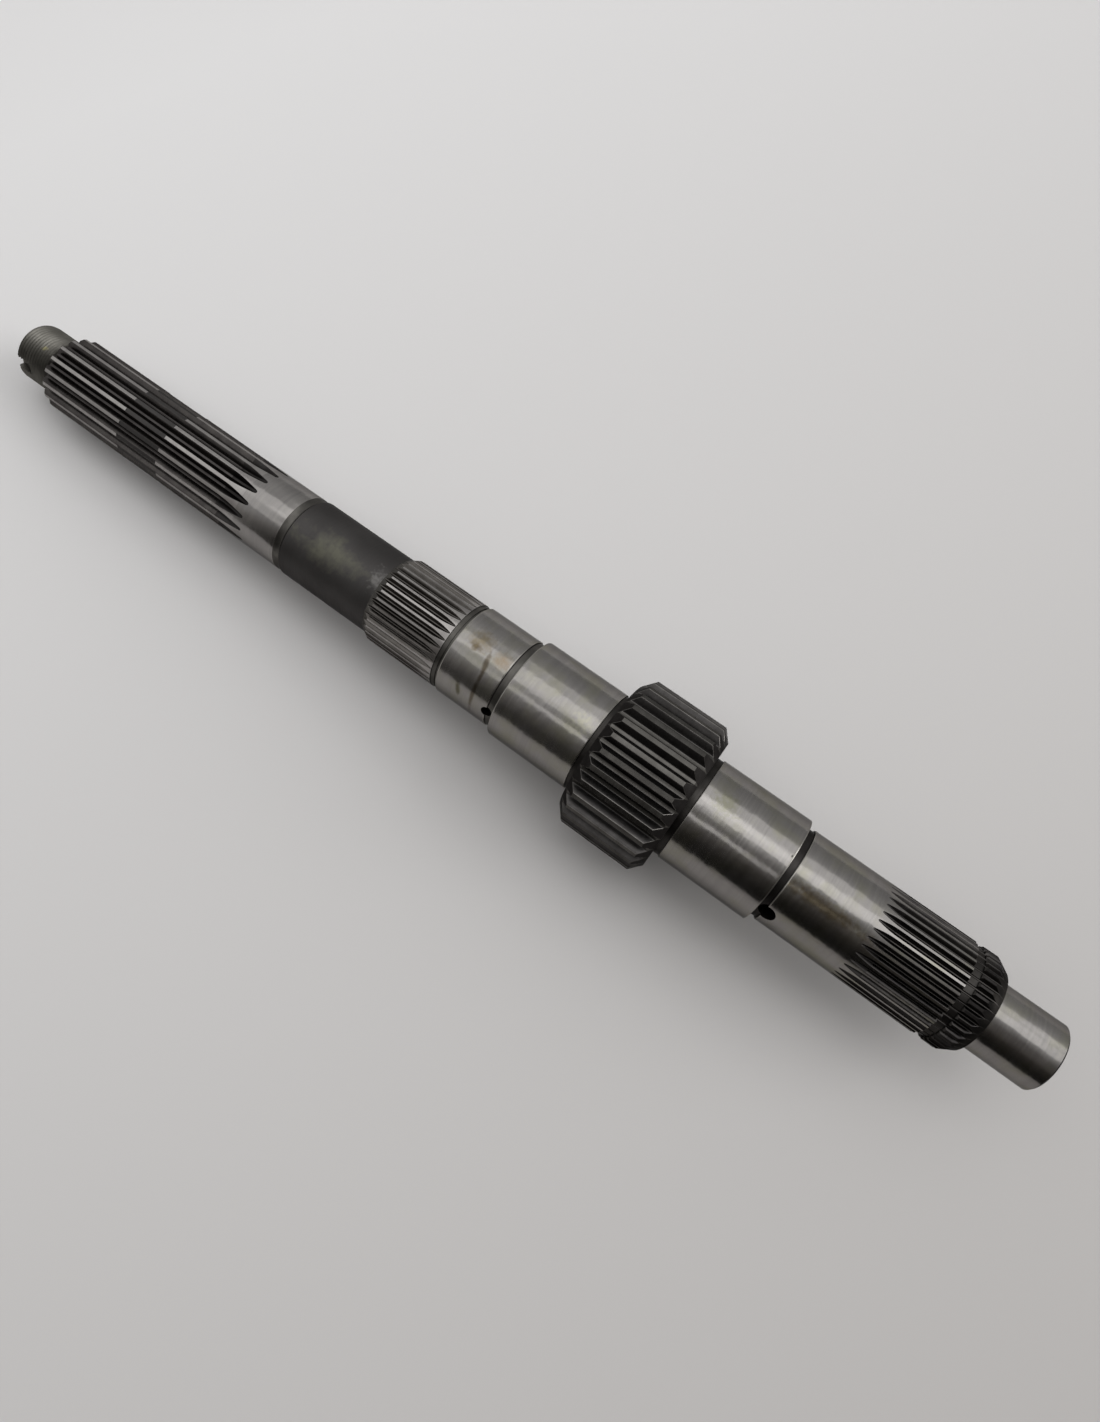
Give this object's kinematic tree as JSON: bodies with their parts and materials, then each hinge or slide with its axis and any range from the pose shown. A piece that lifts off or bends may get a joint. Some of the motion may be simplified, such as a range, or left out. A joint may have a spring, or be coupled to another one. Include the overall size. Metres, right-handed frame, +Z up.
{
  "type": "transfer case output shaft",
  "caption": "Long stepped steel shaft with a toothed hub, ground journals, splines with run-outs, a threaded end with a staking slot, oil holes and a plain pilot end.",
  "frame": {"origin": "middle of the bounding box's bottom, on the floor the shaft lies on", "axes": "+Z up, +X level towards the plain pilot end. The shaft's own axis rises 3.01 degrees towards +X, because it lies on two tips of its toothed hub and one land of its long spline."},
  "size_m": [0.5056, 0.0662, 0.0675],
  "materials": {
    "steel": "bare machined steel: ground journals and lands, darker turned and hobbed lengths"
  },
  "bodies": {
    "root": {"output_shaft": "steel"}
  },
  "joints": []
}
